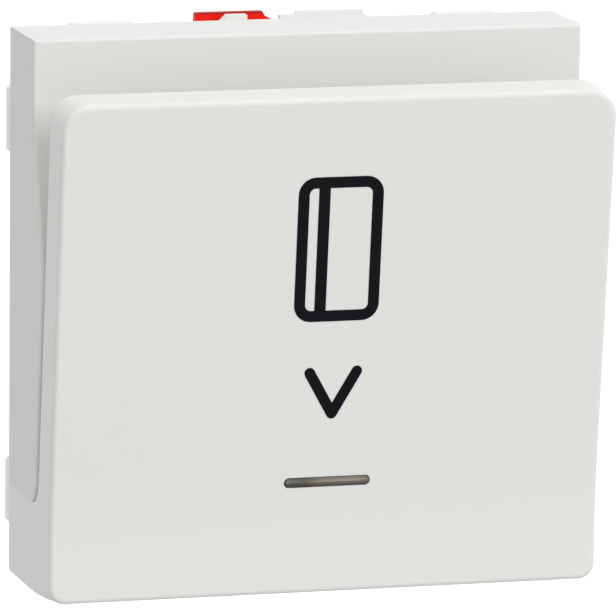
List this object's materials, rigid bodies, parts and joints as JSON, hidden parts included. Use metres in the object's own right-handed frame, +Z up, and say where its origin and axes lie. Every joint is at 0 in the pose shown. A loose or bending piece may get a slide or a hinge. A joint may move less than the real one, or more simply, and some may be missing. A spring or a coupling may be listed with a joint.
{
  "type": "hotel key card switch",
  "caption": "Snap-in wall switch with a leaning front, a card slot open at the top and sides, a lamp window and push-in terminals.",
  "frame": {"origin": "centre of the front plate's rear plane, where the flange begins and the wall frame holds the unit", "axes": "+X right along the front, +Y into the wall, +Z up"},
  "size_m": [0.045, 0.0388, 0.0446],
  "materials": {
    "white_gloss_plastic": "satin gloss polycarbonate",
    "white_technical_plastic": "moulded, fine matt",
    "zinc_steel": "zinc plated",
    "smoked_guide_plastic": "smoked translucent acrylic",
    "grey_plastic": "acetal",
    "pin_steel": "ground",
    "spring_steel": "bright spring steel",
    "natural_plastic": "natural acetal",
    "contact_bronze": "phosphor bronze strip",
    "silver": "silver contact",
    "brass_strip": "stamped brass",
    "red_plastic": "moulded, satin",
    "white_lever_plastic": "moulded, satin",
    "board_laminate": "green laminate",
    "led_resin": "clear resin",
    "resistor_lacquer": "lacquered"
  },
  "bodies": {
    "housing": {"front_cover": "white_gloss_plastic", "cover_liner": "white_gloss_plastic", "back_plate": "white_gloss_plastic", "support_frame": "white_technical_plastic", "mechanism_housing": "white_technical_plastic", "rear_cover": "white_technical_plastic", "housing_screws": "zinc_steel", "light_guide": "smoked_guide_plastic", "lever_pin": "pin_steel", "lever_spring": "spring_steel", "blade_spring": "spring_steel", "output_contacts": "silver", "line_busbar": "brass_strip", "output_one_busbar": "brass_strip", "output_two_busbar": "brass_strip", "neutral_busbar": "brass_strip", "line_clamp_spring": "spring_steel", "output_one_clamp_spring": "spring_steel", "output_two_clamp_spring": "spring_steel", "neutral_clamp_spring": "spring_steel", "circuit_board": "board_laminate", "indicator_led": "led_resin", "lamp_resistor": "resistor_lacquer", "lamp_contacts": "contact_bronze"},
    "card_lever": {"card_lever": "grey_plastic"},
    "contact_blade": {"contact_blade": "contact_bronze", "blade_contact": "silver", "contact_button": "natural_plastic"},
    "line_release_lever": {"line_release_lever": "red_plastic"},
    "output_one_release_lever": {"output_one_release_lever": "white_lever_plastic"},
    "output_two_release_lever": {"output_two_release_lever": "white_lever_plastic"},
    "neutral_release_lever": {"neutral_release_lever": "white_lever_plastic"}
  },
  "joints": [
    {"name": "card_lever_tilt", "type": "hinge", "parent": "housing", "child": "card_lever", "pos_m": [0, -0.004, 0.003], "axis": [1, 0, 0], "range_deg": [0, 6], "stiffness_Nm_per_rad": 0.02, "springref_deg": -14.32, "deforming": ["lever_spring"]},
    {"name": "blade_tilt", "type": "hinge", "parent": "housing", "child": "contact_blade", "pos_m": [-0.0133, 0.014, -0.0003], "axis": [0, -1, 0], "range_deg": [0, 7.4], "stiffness_Nm_per_rad": 0.005, "springref_deg": -11.46, "deforming": ["blade_spring"]},
    {"name": "line_release_press", "type": "slide", "parent": "housing", "child": "line_release_lever", "axis": [0, 0, -1], "range_m": [0, 0.0015], "stiffness_N_per_m": 800, "springref_m": -0.001, "deforming": ["line_clamp_spring"]},
    {"name": "output_one_release_press", "type": "slide", "parent": "housing", "child": "output_one_release_lever", "axis": [0, 0, -1], "range_m": [0, 0.0015], "stiffness_N_per_m": 800, "springref_m": -0.001, "deforming": ["output_one_clamp_spring"]},
    {"name": "output_two_release_press", "type": "slide", "parent": "housing", "child": "output_two_release_lever", "axis": [0, 0, 1], "range_m": [0, 0.0015], "stiffness_N_per_m": 800, "springref_m": -0.001, "deforming": ["output_two_clamp_spring"]},
    {"name": "neutral_release_press", "type": "slide", "parent": "housing", "child": "neutral_release_lever", "axis": [0, 0, 1], "range_m": [0, 0.0015], "stiffness_N_per_m": 800, "springref_m": -0.001, "deforming": ["neutral_clamp_spring"]}
  ],
  "couplings": [
    {"joint": "blade_tilt", "follows": "card_lever_tilt", "ratio": 1.226}
  ]
}
